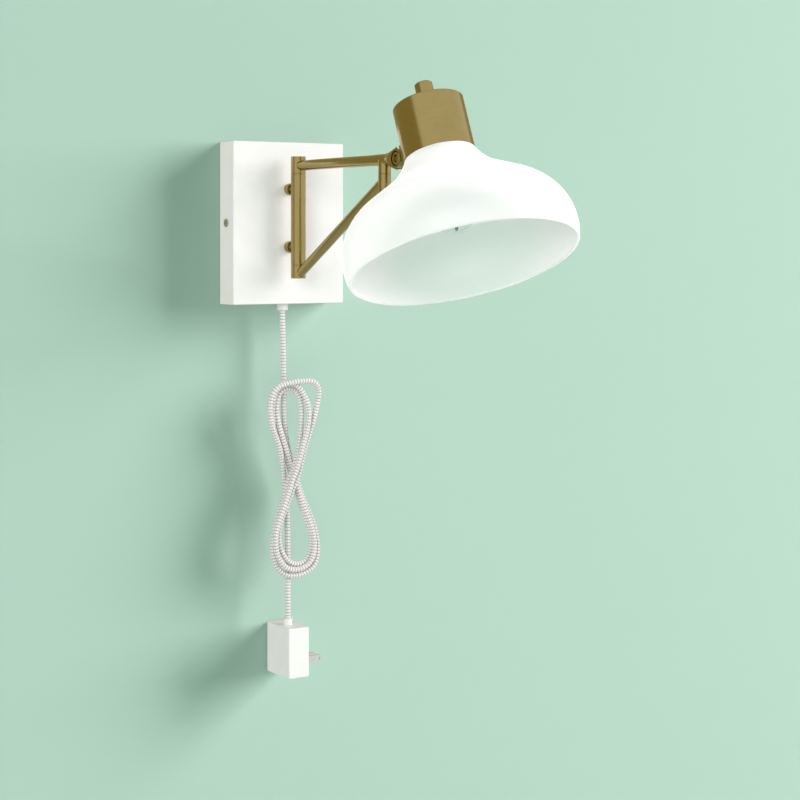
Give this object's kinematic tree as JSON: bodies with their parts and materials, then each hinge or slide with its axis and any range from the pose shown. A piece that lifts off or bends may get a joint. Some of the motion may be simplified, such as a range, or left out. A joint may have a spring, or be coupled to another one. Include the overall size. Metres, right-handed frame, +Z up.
{
  "type": "swing arm wall sconce",
  "caption": "Plug-in wall lamp: a braced swing arm on a vertical mast carries a tilting glass bell shade with a rotary switch knob.",
  "frame": {"origin": "centre of the wall cover's open back, on the wall plane, level with the two side screws", "axes": "+X to the right along the wall, +Y into the wall, +Z up"},
  "size_m": [0.213, 0.4443, 0.5894],
  "materials": {
    "white_enamel": "smooth satin white enamel",
    "zinc_steel": "bright zinc plate",
    "brushed_brass": "brushed satin brass",
    "green_screw": "green painted steel",
    "dark_nylon": "matt dark nylon",
    "connector_yellow": "matt moulded yellow",
    "wire_insulation": "matt wire insulation",
    "cord_white": "white textile braid with grey flecks",
    "plug_white": "smooth white moulding",
    "blade_nickel": "nickel plated bright metal",
    "contact_brass": "plain brass",
    "holder_white": "matt white moulding",
    "shell_nickel": "plain bright metal",
    "opal_glass": "polished white opal glass",
    "clear_glass": "polished clear glass",
    "stem_glass": "clear pressed glass",
    "cap_nickel": "plain bright metal",
    "filament": "phosphor coated rods",
    "switch_black": "matt black moulding"
  },
  "bodies": {
    "wall_unit": {"cover": "white_enamel", "mounting_bracket": "zinc_steel", "side_screws": "zinc_steel", "ground_screw": "green_screw", "standoff_upper": "brushed_brass", "standoff_lower": "brushed_brass", "standoff_washers": "zinc_steel", "standoff_nuts": "zinc_steel", "mast_tube": "brushed_brass", "mast_rod": "zinc_steel", "seam_washers": "dark_nylon", "wire_connectors": "connector_yellow", "supply_wires": "wire_insulation", "lamp_wires": "wire_insulation", "cord_gland": "plug_white", "gland_nut": "zinc_steel", "cord_upper": "cord_white", "cord_hank": "cord_white", "cord_lower": "cord_white", "plug_body": "plug_white", "plug_blades": "blade_nickel", "plug_relief": "plug_white"},
    "swing_arm": {"upper_collar": "brushed_brass", "lower_collar": "brushed_brass", "arm_tube": "brushed_brass", "outer_tee": "brushed_brass", "brace_tube": "brushed_brass", "brace_post": "brushed_brass", "post_stud": "zinc_steel", "arm_wires": "wire_insulation", "knuckle_yoke": "brushed_brass", "tilt_screw": "brushed_brass", "tilt_nut": "brushed_brass", "friction_washers": "dark_nylon"},
    "lamp_head": {"tilt_lug": "brushed_brass", "lug_screws": "zinc_steel", "socket_cup": "brushed_brass", "lampholder": "holder_white", "screw_shell": "shell_nickel", "centre_contact": "contact_brass", "shade": "opal_glass", "shade_ring": "holder_white", "bulb_glass": "clear_glass", "bulb_cap": "cap_nickel", "bulb_stem": "stem_glass", "bulb_filament": "filament", "rotary_switch": "switch_black", "switch_nut": "brushed_brass", "head_wires": "wire_insulation"},
    "switch_knob": {"switch_knob": "brushed_brass", "knob_shaft": "zinc_steel"}
  },
  "joints": [
    {"name": "arm_swing", "type": "hinge", "parent": "wall_unit", "child": "swing_arm", "pos_m": [0, -0.0483, 0.0035], "axis": [0, 0, 1], "range_deg": [-70, 70]},
    {"name": "head_tilt", "type": "hinge", "parent": "swing_arm", "child": "lamp_head", "pos_m": [0, -0.246, 0.058], "axis": [1, 0, 0], "range_deg": [-50, 40]},
    {"name": "switch_turn", "type": "hinge", "parent": "lamp_head", "child": "switch_knob", "pos_m": [0, -0.2846, 0.11533], "axis": [0, 0.3827, 0.9239], "continuous": true}
  ]
}
